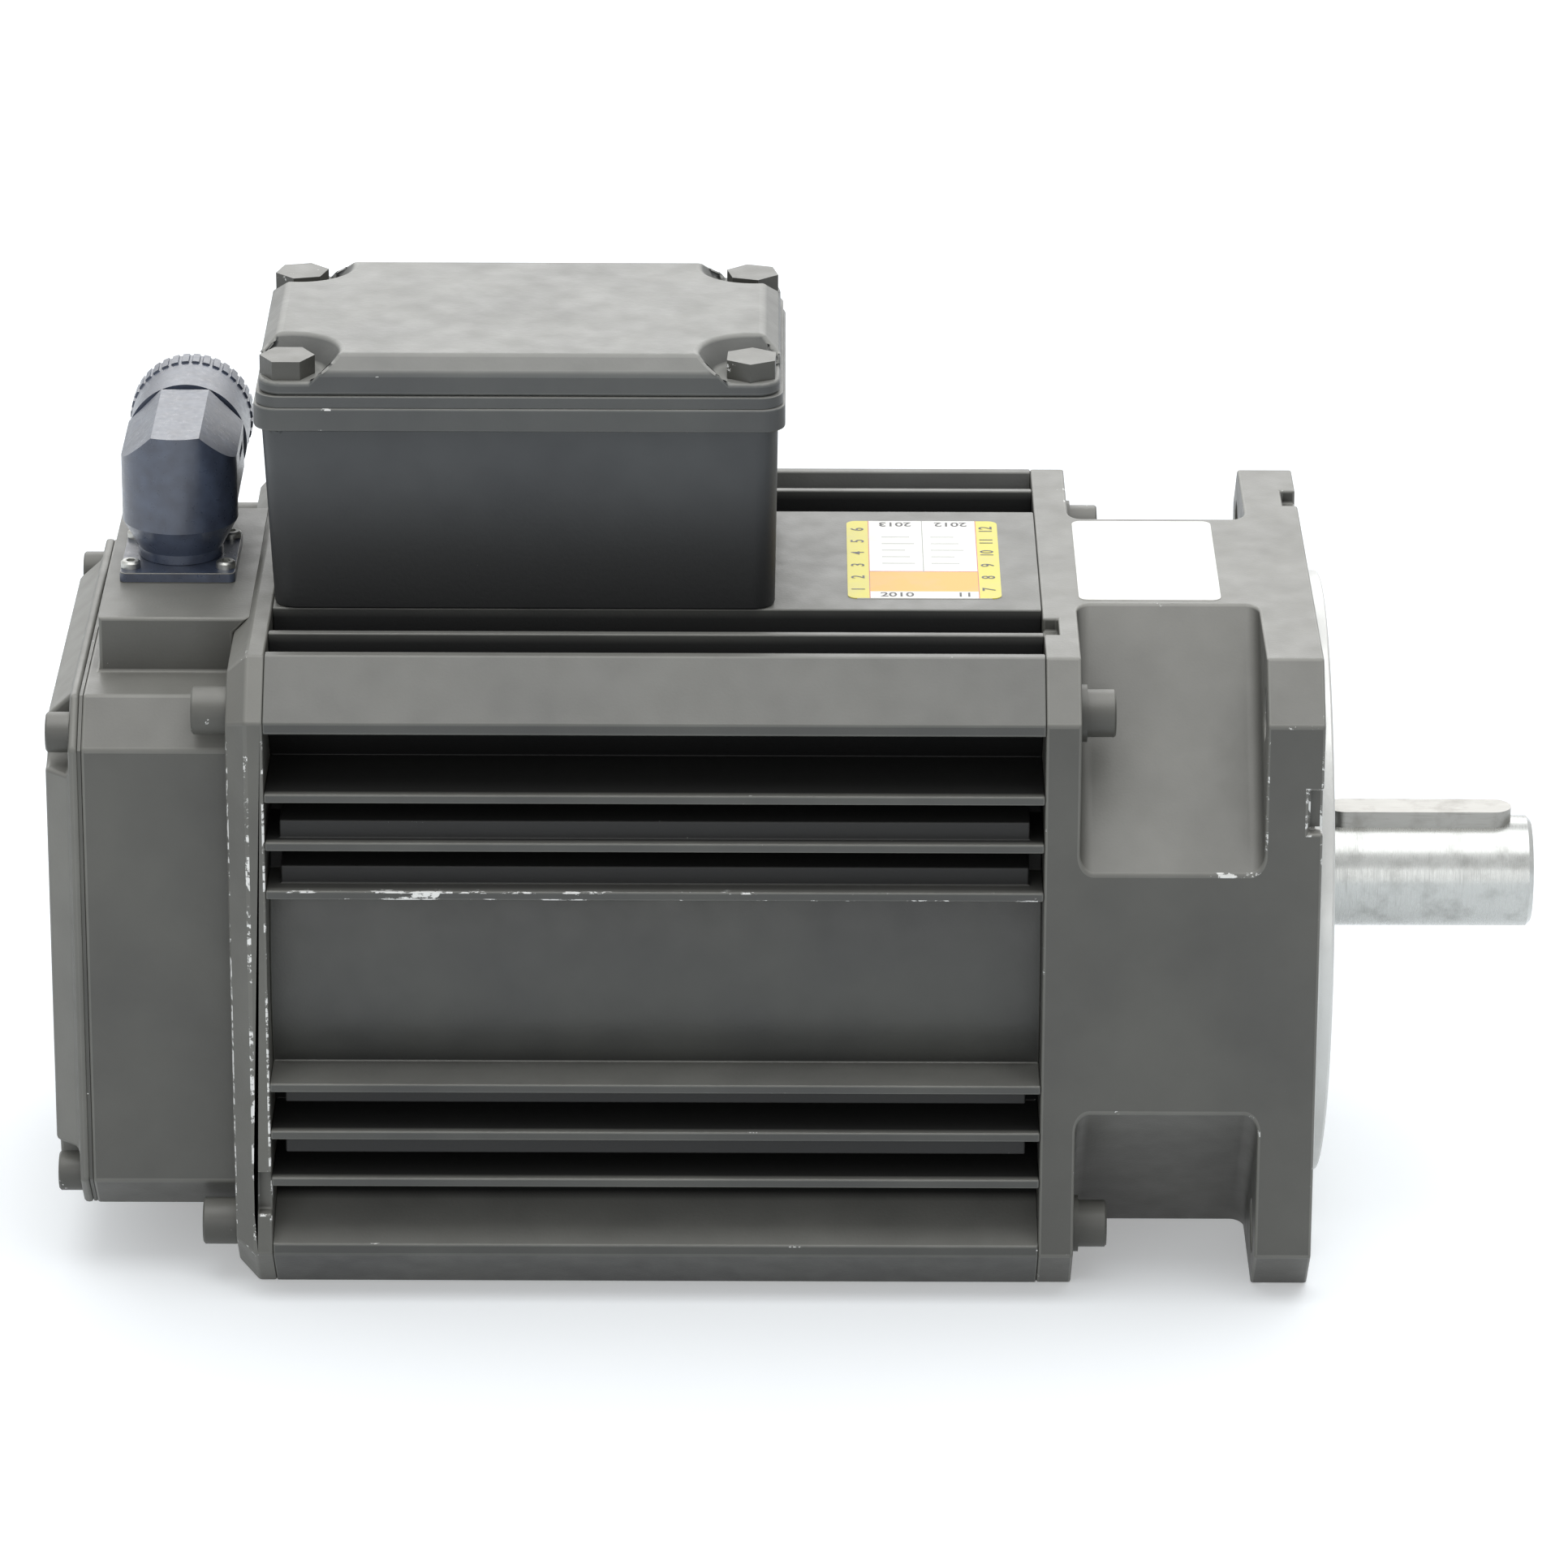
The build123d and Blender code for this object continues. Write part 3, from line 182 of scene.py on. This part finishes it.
# ---- the painted castings and the finned extrusion ----
# Sprayed satin black paint over cast and extruded aluminium. It rounds every edge a little and keeps the
# skin of the casting. Grey dust and a painted sheen lighten what faces up, and painted shade darkens the
# grooves. Knocks have chipped it to the bright metal along the edges, most of all on the rear plate and one
# fin.
def paint(name, dark, light, chips, length=(1.0, 1.0, 1.0), dust_and_sheen=0.34, worst=None, machined=False,
          foot_shade=None, finned=False, grain=0.0006, relief=0.32):
    """Black paint on aluminium. chips: how much of the surface is worn bare. length: scale of the chips
    along each axis. worst: a point, a reach and an axis scale where the chips are densest. machined: bare
    metal past the mounting face. dust_and_sheen: strength of the grey dust and painted sheen on what faces
    up.
    foot_shade: two heights between which painted shade darkens the colour downwards. finned: painted shade,
    near black, between the fins. grain and relief: size in metres and strength of the skin's grain."""
    made, tree, out = blank(name)
    where = add(tree, "TexCoord").outputs["Object"]
    place = add(tree, "SeparateXYZ", {0: where}).outputs
    # the tone drifts over about 30 mm, as sprayed coats do
    cloud = add(tree, "TexNoise", {"Vector": where, "Scale": 33.0, "Detail": 4.0}).outputs["Fac"]
    tone = add(tree, "MapRange", {"Value": cloud, "From Min": 0.3, "From Max": 0.7}).outputs["Result"]
    skin = add(tree, "Mix", {"Factor": tone, 6: colour(dark), 7: colour(light)}, data_type="RGBA").outputs[2]
    # grey dust and a painted sheen on what faces up, patchy over about 12 mm
    facing = add(tree, "SeparateXYZ", {0: add(tree, "NewGeometry").outputs["Normal"]}).outputs["Z"]
    upper = add(tree, "MapRange", {"Value": facing, "From Min": 0.2, "From Max": 1.0, "To Max": dust_and_sheen},
                interpolation_type="SMOOTHSTEP").outputs["Result"]
    patch = add(tree, "TexNoise", {"Vector": where, "Scale": 83.0, "Detail": 5.0}).outputs["Fac"]
    patch = add(tree, "MapRange", {"Value": patch, "From Min": 0.25, "From Max": 0.75,
                                   "To Min": 0.75}).outputs["Result"]
    patch = add(tree, "Math", {0: upper, 1: patch}, operation="MULTIPLY").outputs[0]
    skin = add(tree, "Mix", {"Factor": patch, 6: skin, 7: colour("#b6b6b0")}, data_type="RGBA").outputs[2]
    # painted shade: grooves up to about 8 mm wide are darkened towards near black by ambient occlusion
    shade = add(tree, "AmbientOcclusion", {"Distance": 0.008}, only_local=True, samples=6).outputs["AO"]
    shade = add(tree, "MapRange", {"Value": shade, "From Min": 0.20, "From Max": 0.50, "To Min": 0.97,
                                   "To Max": 0.0}, interpolation_type="SMOOTHSTEP").outputs["Result"]
    # painted shade: the colour darkens towards the bottom between two heights
    if foot_shade:
        low_shade = add(tree, "MapRange", {"Value": place["Z"], "From Min": foot_shade[0], "From Max": foot_shade[1],
                                          "To Min": 0.92, "To Max": 0.0},
                       interpolation_type="SMOOTHSTEP").outputs["Result"]
        shade = add(tree, "Math", {0: shade, 1: low_shade}, operation="MAXIMUM").outputs[0]
    # painted shade: the grooves between the fins are darkened towards near black
    if finned:
        # the fins fill the band from 23 to 52 mm beside each centre line, and their tips stand at 71 mm
        across = add(tree, "Math", {0: place["Y"]}, operation="ABSOLUTE").outputs[0]
        upright = add(tree, "Math", {0: place["Z"]}, operation="ABSOLUTE").outputs[0]
        outer = add(tree, "Math", {0: across, 1: upright}, operation="MAXIMUM").outputs[0]
        along = add(tree, "Math", {0: across, 1: upright}, operation="MINIMUM").outputs[0]
        fin_groove_shade = 0.93
        for measure, clear, full in ((outer, 0.0703, 0.0688), (along, 0.0222, 0.0232),
                                     (along, 0.0530, 0.0520)):
            part = add(tree, "MapRange", {"Value": measure, "From Min": clear, "From Max": full})
            fin_groove_shade = add(tree, "Math", {0: fin_groove_shade, 1: part.outputs["Result"]}, operation="MULTIPLY").outputs[0]
        shade = add(tree, "Math", {0: shade, 1: fin_groove_shade}, operation="MAXIMUM").outputs[0]
    # the painted shade of grooves, fin gaps and the foot mixes the colour towards near black
    skin = add(tree, "Mix", {"Factor": shade, 6: skin, 7: colour("#090a0b")}, data_type="RGBA").outputs[2]
    # chips of 1 to 4 mm with ragged outlines, in clusters of about 25 mm
    stretched = add(tree, "Mapping", {"Vector": where, "Scale": length}).outputs[0]
    ragged = add(tree, "TexNoise", {"Vector": stretched, "Scale": 330.0, "Detail": 6.0,
                                    "Roughness": 0.72}).outputs["Fac"]
    cluster = add(tree, "TexNoise", {"Vector": where, "Scale": 40.0, "Detail": 2.0}).outputs["Fac"]
    cluster = add(tree, "MapRange", {"Value": cluster, "From Min": 0.35, "From Max": 0.65, "To Min": -0.09,
                                     "To Max": 0.03}).outputs["Result"]
    if worst:
        spot, reach, scale = worst
        flattened = add(tree, "VectorMath", {0: where, 1: scale}, operation="MULTIPLY").outputs["Vector"]
        near = add(tree, "VectorMath", {0: flattened, 1: spot}, operation="DISTANCE").outputs["Value"]
        near = add(tree, "MapRange", {"Value": near, "From Min": reach, "From Max": reach * 0.4,
                                      "To Max": 0.14}).outputs["Result"]
        cluster = add(tree, "Math", {0: cluster, 1: near}).outputs[0]
    ragged = add(tree, "Math", {0: ragged, 1: cluster}).outputs[0]
    worn = add(tree, "MapRange", {"Value": ragged, "From Min": 0.99 - chips,
                                  "From Max": 1.01 - chips}).outputs["Result"]
    metal_share = worn
    if machined:
        past = add(tree, "MapRange", {"Value": place["X"], "From Min": -0.0002,
                                      "From Max": 0.0}).outputs["Result"]
        metal_share = add(tree, "Math", {0: worn, 1: past}, operation="MAXIMUM").outputs[0]
    bare = colour("#c4c5c3" if machined else "#dddedc")
    base = add(tree, "Mix", {"Factor": metal_share, 6: skin, 7: bare}, data_type="RGBA").outputs[2]
    gloss = add(tree, "TexNoise", {"Vector": where, "Scale": 160.0, "Detail": 4.0}).outputs["Fac"]
    rough = add(tree, "MapRange", {"Value": gloss, "From Min": 0.3, "From Max": 0.7, "To Min": 0.38,
                                   "To Max": 0.50}).outputs["Result"]
    rough = add(tree, "Mix", {"Factor": shade, 2: rough, 3: 0.62}).outputs[0]
    skin_grain = add(tree, "TexNoise", {"Vector": where, "Scale": 1.0 / grain, "Detail": 3.0}).outputs["Fac"]
    bump = add(tree, "Bump", {"Height": skin_grain, "Strength": relief, "Distance": 0.00012})
    bump = add(tree, "Bump", {"Height": worn, "Strength": 0.6, "Distance": 0.0001, "Normal": bump.outputs[0]},
               invert=True)
    shader = add(tree, "BsdfPrincipled", {"Base Color": base, "Roughness": rough, "IOR": 1.5,
                                          "Metallic": metal_share if machined else 0.0,
                                          "Normal": bump.outputs[0]})
    tree.links.new(shader.outputs[0], out.inputs["Surface"])
    return made


def softened(names, radius, surface, edges):
    """One finished piece that stands for one or more CAD nodes: their copies are united, merged and
    given round edges of a real radius, in metres, wherever two faces meet at 28 degrees or more."""
    sharp = radians(28)
    copies = []
    for name in names:
        mesh = nodes[name].data.copy()
        shape = bmesh.new()
        shape.from_mesh(mesh)
        bmesh.ops.remove_doubles(shape, verts=shape.verts, dist=1e-6)
        shape.to_mesh(mesh)
        shape.free()
        copies.append(bpy.data.objects.new(name + "_copy", mesh))
        scene.collection.objects.link(copies[-1])
    for other in copies[1:]:
        union = copies[0].modifiers.new("union", "BOOLEAN")
        union.operation = "UNION"
        union.solver = "EXACT"
        union.object = other
    mesh = bpy.data.meshes.new_from_object(copies[0].evaluated_get(bpy.context.evaluated_depsgraph_get()))
    for copy in copies:
        bpy.data.objects.remove(copy)
    mesh.name = names[0] + "_finished"
    shape = bmesh.new()
    shape.from_mesh(mesh)
    bmesh.ops.remove_doubles(shape, verts=shape.verts, dist=2e-6)
    bmesh.ops.dissolve_limit(shape, angle_limit=radians(0.5), verts=shape.verts, edges=shape.edges)
    for face in shape.faces:
        face.smooth = True
        face.material_index = 0
    for edge in shape.edges:
        edge.smooth = edge.calc_face_angle(0.0) < sharp
    shape.to_mesh(mesh)
    shape.free()
    mesh.materials.clear()
    mesh.materials.append(surface)
    mesh.materials.append(edges)
    piece = bpy.data.objects.new(names[0] + "_finished", mesh)
    scene.collection.objects.link(piece)
    rounding = piece.modifiers.new("rounding", "BEVEL")
    rounding.width = radius
    rounding.segments = 2
    rounding.limit_method = "ANGLE"
    rounding.angle_limit = sharp
    rounding.use_clamp_overlap = False
    rounding.harden_normals = True
    rounding.material = 1
    for name in names:
        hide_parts(name)
    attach(piece, "housing")


casting = "#464643", "#52524e"
edge_tone = "#5a5a56", "#686863"
everywhere = (1.0, 1.0, 1.0)
along_fin = (0.4, 1.0, 1.0)
flange_corner = ((-0.012, -0.071, 0.040), 0.030, everywhere)
fin_tip = ((0.0, -0.071, 0.0218), 0.004, (0.0, 1.0, 1.0))
plate_edge = ((-0.221, -0.071, 0.000), 0.070, everywhere)
frame_scratch = ((-0.2085, -0.036, 0.1150), 0.006, everywhere)
softened(["drive_end_flange", "drive_end_neck", "drive_end_plate"], 0.0006,
         paint("satin_black_casting", *casting, 0.25, dust_and_sheen=0.42, machined=True),
         paint("worn_flange_edge", *edge_tone, 0.35, dust_and_sheen=0.42, worst=flange_corner, machined=True))
softened(["stator_housing"], 0.0004,
         paint("satin_black_extrusion", "#3a3b3a", "#464744", 0.23, along_fin, worst=fin_tip, finned=True),
         paint("worn_fin_edge", "#4c4d4a", "#5a5b57", 0.32, along_fin, worst=fin_tip, finned=True))
skin_paint = paint("satin_black_paint", *casting, 0.25)
edge_paint = paint("worn_edge_paint", *edge_tone, 0.32)
softened(["rear_end_shield"], 0.0005, paint("satin_black_plate", "#53534f", "#60605b", 0.25),
         paint("chipped_plate_edge", *edge_tone, 0.38, worst=plate_edge))
softened(["encoder_housing"], 0.0007, skin_paint, edge_paint)
softened(["rear_cover"], 0.0009, paint("satin_black_cover", "#62625e", "#6f6f6a", 0.24), edge_paint)
# painted shade darkens the terminal box towards its bottom
box_foot_shade = (0.080, 0.108)
lid_tone = "#4c4e4e", "#5a5c5a"
box_paint = paint("satin_black_box", "#303336", "#3b3e40", 0.22, foot_shade=box_foot_shade, grain=0.0009)
box_edge = paint("worn_box_edge", "#45474a", "#505255", 0.30, foot_shade=box_foot_shade)
lid_paint = paint("satin_black_lid", "#3d3f40", "#484a49", 0.22, dust_and_sheen=0.46, grain=0.0013, relief=0.5)
lid_edge = paint("worn_lid_edge", *lid_tone, 0.30, dust_and_sheen=0.46, grain=0.0013, relief=0.6)
softened(["terminal_box"], 0.0006, box_paint, box_edge)
softened(["terminal_box_frame"], 0.0004, lid_paint,
         paint("scratched_frame_edge", *lid_tone, 0.30, worst=frame_scratch))
softened(["terminal_box_gasket"], 0.0002, lid_paint, lid_edge)
softened(["terminal_box_lid"], 0.0009, lid_paint, lid_edge)


# ---- painted screws and washers ----
# Zinc plated steel screws, painted over with the frame. Keys and spanners have rubbed their heads.
def dress(material, *names):
    """Give CAD nodes their finish."""
    for name in names:
        mesh = nodes[name].data
        mesh.materials.clear()
        mesh.materials.append(material)


screw_paint = paint("painted_screw_steel", "#3c3c39", "#4e4e49", 0.34)
dress(screw_paint, "drive_end_screws", "drive_end_washers", "rear_end_screws", "rear_end_washers",
      "rear_cover_screws", "rear_cover_gasket", "terminal_lid_screws")


# ---- shaft, key and the other turned or ground steel ----
# Carbon steel, ground round: fine scratches run around the shaft, and handling has left stains.
def metal(name, tint, stain, rough_low, rough_high, stretch=(1.0, 1.0, 1.0), size=0.0004):
    """Bare metal with machining marks of size metres; stretch draws the marks out along an axis."""
    made, tree, out = blank(name)
    where = add(tree, "TexCoord").outputs["Object"]
    drawn = add(tree, "Mapping", {"Vector": where, "Scale": stretch}).outputs[0]
    marks = add(tree, "TexNoise", {"Vector": drawn, "Scale": 1.0 / size, "Detail": 4.0}).outputs["Fac"]
    cloud = add(tree, "TexNoise", {"Vector": where, "Scale": 140.0, "Detail": 7.0,
                                   "Roughness": 0.6}).outputs["Fac"]
    stains = add(tree, "MapRange", {"Value": cloud, "From Min": 0.50, "From Max": 0.80}).outputs["Result"]
    line = add(tree, "MapRange", {"Value": marks, "From Min": 0.60, "From Max": 0.75,
                                  "To Max": 0.5}).outputs["Result"]
    soiled = add(tree, "Math", {0: stains, 1: line}, operation="MAXIMUM").outputs[0]
    base = add(tree, "Mix", {"Factor": soiled, 6: colour(tint), 7: colour(stain)},
               data_type="RGBA").outputs[2]
    rough = add(tree, "MapRange", {"Value": marks, "From Min": 0.3, "From Max": 0.7, "To Min": rough_low,
                                   "To Max": rough_high}).outputs["Result"]
    bump = add(tree, "Bump", {"Height": marks, "Strength": 0.4, "Distance": 0.00001})
    shader = add(tree, "BsdfPrincipled", {"Base Color": base, "Metallic": 1.0, "Roughness": rough,
                                          "Normal": bump.outputs[0]})
    tree.links.new(shader.outputs[0], out.inputs["Surface"])
    return made


ground_steel = metal("ground_carbon_steel", "#b6b8b6", "#8e8f8c", 0.22, 0.34, (1.0, 0.04, 0.04), 0.0002)
key_steel = metal("drawn_key_steel", "#9c9b97", "#7c7a74", 0.30, 0.42, (0.05, 1.0, 1.0), 0.0003)
bright_steel = metal("bearing_steel", "#d5d5d4", "#c4c4c3", 0.08, 0.16)
plated_steel = metal("zinc_plated_steel", "#b9bab6", "#96968f", 0.30, 0.45)
turned_aluminium = metal("turned_aluminium", "#d3d4d6", "#b5b6b8", 0.28, 0.4)
core_steel = metal("electrical_steel", "#8b8e93", "#6c6f73", 0.35, 0.5, (20.0, 1.0, 1.0), 0.005)
dress(ground_steel, "shaft")
dress(key_steel, "shaft_key")
dress(bright_steel, "front_bearing_inner_ring", "front_bearing_outer_ring", "front_bearing_balls",
      "rear_bearing_inner_ring", "rear_bearing_outer_ring", "rear_bearing_balls")
dress(plated_steel, "front_bearing_cage", "rear_bearing_cage", "preload_spring", "front_bearing_circlip",
      "rear_bearing_circlip", "connector_snap_ring", "terminal_box_screws", "encoder_screws", "earth_screw",
      "connector_screws")
dress(turned_aluminium, "encoder_body", "encoder_rotor")
dress(core_steel, "stator_core", "rotor_core", "rotor_magnets")


# ---- signal connector ----
# Die cast metal shell with a smooth bluish black finish, on a square flange with four small screws.
# The knurled ring turns on its mouth; inside are a moulded insulator and gilt contacts.
def plain(name, dark, light, rough, metallic=0.0, ior=1.5):
    """A moulded, plated or coated surface with slight changes of tone and gloss over a few millimetres."""
    made, tree, out = blank(name)
    size = 0.004
    where = add(tree, "TexCoord").outputs["Object"]
    cloud = add(tree, "TexNoise", {"Vector": where, "Scale": 1.0 / size, "Detail": 4.0}).outputs["Fac"]
    tone = add(tree, "MapRange", {"Value": cloud, "From Min": 0.3, "From Max": 0.7}).outputs["Result"]
    base = add(tree, "Mix", {"Factor": tone, 6: colour(dark), 7: colour(light)}, data_type="RGBA").outputs[2]
    gloss = add(tree, "TexNoise", {"Vector": where, "Scale": 3.0 / size, "Detail": 3.0}).outputs["Fac"]
    gloss = add(tree, "MapRange", {"Value": gloss, "From Min": 0.3, "From Max": 0.7, "To Min": rough - 0.04,
                                   "To Max": rough + 0.06}).outputs["Result"]
    fine = add(tree, "TexNoise", {"Vector": where, "Scale": 2000.0}).outputs["Fac"]
    bump = add(tree, "Bump", {"Height": fine, "Strength": 0.2, "Distance": 0.00004})
    links = {"Base Color": base, "Roughness": gloss, "Metallic": metallic, "Normal": bump.outputs[0]}
    if not metallic:
        links["IOR"] = ior
    shader = add(tree, "BsdfPrincipled", links)
    tree.links.new(shader.outputs[0], out.inputs["Surface"])
    return made


connector_coat = plain("black_coated_zinc", "#333948", "#454e60", 0.30, ior=1.7)
insulator = plain("moulded_polyamide", "#1c1d1f", "#26282a", 0.5)
gilt = plain("gilt_contact", "#c9a44c", "#d9b968", 0.25, 1.0)
rubber = plain("nitrile_rubber", "#141414", "#1e1e1e", 0.7)
copper = plain("enamelled_copper", "#8a4524", "#a65a30", 0.35)
board = plain("solder_mask", "#0e4726", "#15552f", 0.35)
softened(["connector_flange"], 0.0002, connector_coat, edge_paint)
dress(connector_coat, "connector_elbow", "coupling_ring")
dress(insulator, "connector_insert", "terminal_block")
dress(gilt, "contact_pins", "terminal_studs", "terminal_nuts")
dress(rubber, "shaft_seal")
dress(copper, "stator_winding")
dress(board, "encoder_board")
dress(plated_steel, "cable_entry_plugs")


# ---- labels ----
# Printed polyester film on the pad beside the box and on the neck: a check label with yellow bands
# and plain numbers, and a plain white label.
def film(name, bands):
    """Printed film; bands lists (from x, to x, from y, to y, colour) in metres, painted in turn."""
    made, tree, out = blank(name)
    where = add(tree, "TexCoord").outputs["Object"]
    axes = add(tree, "SeparateXYZ", {0: where}).outputs
    grime = add(tree, "TexNoise", {"Vector": where, "Scale": 120.0, "Detail": 6.0}).outputs["Fac"]
    grime = add(tree, "MapRange", {"Value": grime, "From Min": 0.5, "From Max": 0.8,
                                   "To Max": 0.25}).outputs["Result"]
    base = colour("#e6e6e2")
    for x0, x1, y0, y1, ink in bands:
        inside = 1.0
        for axis, low_side, high_side in (("X", x0, x1), ("Y", y0, y1)):
            above = add(tree, "Math", {0: axes[axis], 1: low_side}, operation="GREATER_THAN").outputs[0]
            below = add(tree, "Math", {0: axes[axis], 1: high_side}, operation="LESS_THAN").outputs[0]
            both = add(tree, "Math", {0: above, 1: below}, operation="MULTIPLY").outputs[0]
            inside = add(tree, "Math", {0: inside, 1: both}, operation="MULTIPLY").outputs[0]
        base = add(tree, "Mix", {"Factor": inside, 6: base, 7: colour(ink)}, data_type="RGBA").outputs[2]
    base = add(tree, "Mix", {"Factor": grime, 6: base, 7: colour("#a9a69c")}, data_type="RGBA").outputs[2]
    shader = add(tree, "BsdfPrincipled", {"Base Color": base, "Roughness": 0.35, "IOR": 1.5})
    tree.links.new(shader.outputs[0], out.inputs["Surface"])
    return made


low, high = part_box("date_label")
band = 0.0048                        # width of the yellow bands
strip = 0.0042                       # height of the printed rows at the top and the bottom
line = 0.0002                        # width of the ruled lines
amber_top = low.y + 0.0165
middle = (low.x + high.x) / 2
yellow, amber, rule, grey_rule, grey_print = "#d6cb22", "#e2a90e", "#b9463a", "#8d8d88", "#a4a4a0"
inner = low.x + band, high.x - band
bands = [(low.x, inner[0], low.y, high.y, yellow), (inner[1], high.x, low.y, high.y, yellow),
         (*inner, low.y + strip, amber_top, amber), (*inner, amber_top, amber_top + 2 * line, rule),
         (inner[0] - line, inner[0], low.y, high.y, rule), (inner[1], inner[1] + line, low.y, high.y, rule),
         (middle - line / 2, middle + line / 2, amber_top, high.y, grey_rule)]
for k in range(5):
    y = low.y + 0.0215 + k * strip
    for shift, short in ((0.0075, k % 3), (0.0180, (k + 1) % 3)):
        bands.append((low.x + shift, low.x + shift + 0.007 - 0.001 * short, y, y + 0.0006, grey_print))
dress(film("printed_check_label", bands), "date_label")
dress(film("plain_white_label", []), "neck_label")

ink_black = plain("printing_ink", "#1a1a1a", "#222222", 0.4)
columns = low.x + band / 2, high.x - band / 2
rows = low.y + strip / 2, high.y - strip / 2
prints = [(str(k + 1), columns[k // 6], low.y + 0.0055 + (k % 6) * 0.0076, 0.0040, 0.5) for k in range(12)]
prints += [("2010", middle - 0.0058, rows[0], 0.0036, 0.0), ("11", middle + 0.0085, rows[0], 0.0036, 0.0),
           ("2013", middle - 0.0058, rows[1], 0.0036, 1.0), ("2012", middle + 0.0062, rows[1], 0.0036, 1.0)]
for index, (words, x, y, size, half_turns) in enumerate(prints):
    text = bpy.data.curves.new("print", "FONT")
    text.body = words
    text.size = size
    text.offset = 0.00005
    text.align_x = "CENTER"
    text.align_y = "CENTER"
    carrier = bpy.data.objects.new("print", text)
    scene.collection.objects.link(carrier)
    bpy.context.view_layer.update()
    mesh = bpy.data.meshes.new_from_object(carrier)
    bpy.data.objects.remove(carrier)
    mesh.transform(Matrix.Translation((x, y, high.z + 0.00003)) @ Matrix.Rotation(pi * half_turns, 4, "Z"))
    mesh.materials.clear()
    mesh.materials.append(ink_black)
    printed = bpy.data.objects.new("label_print_" + str(index + 1), mesh)
    scene.collection.objects.link(printed)
    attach(printed, "housing")
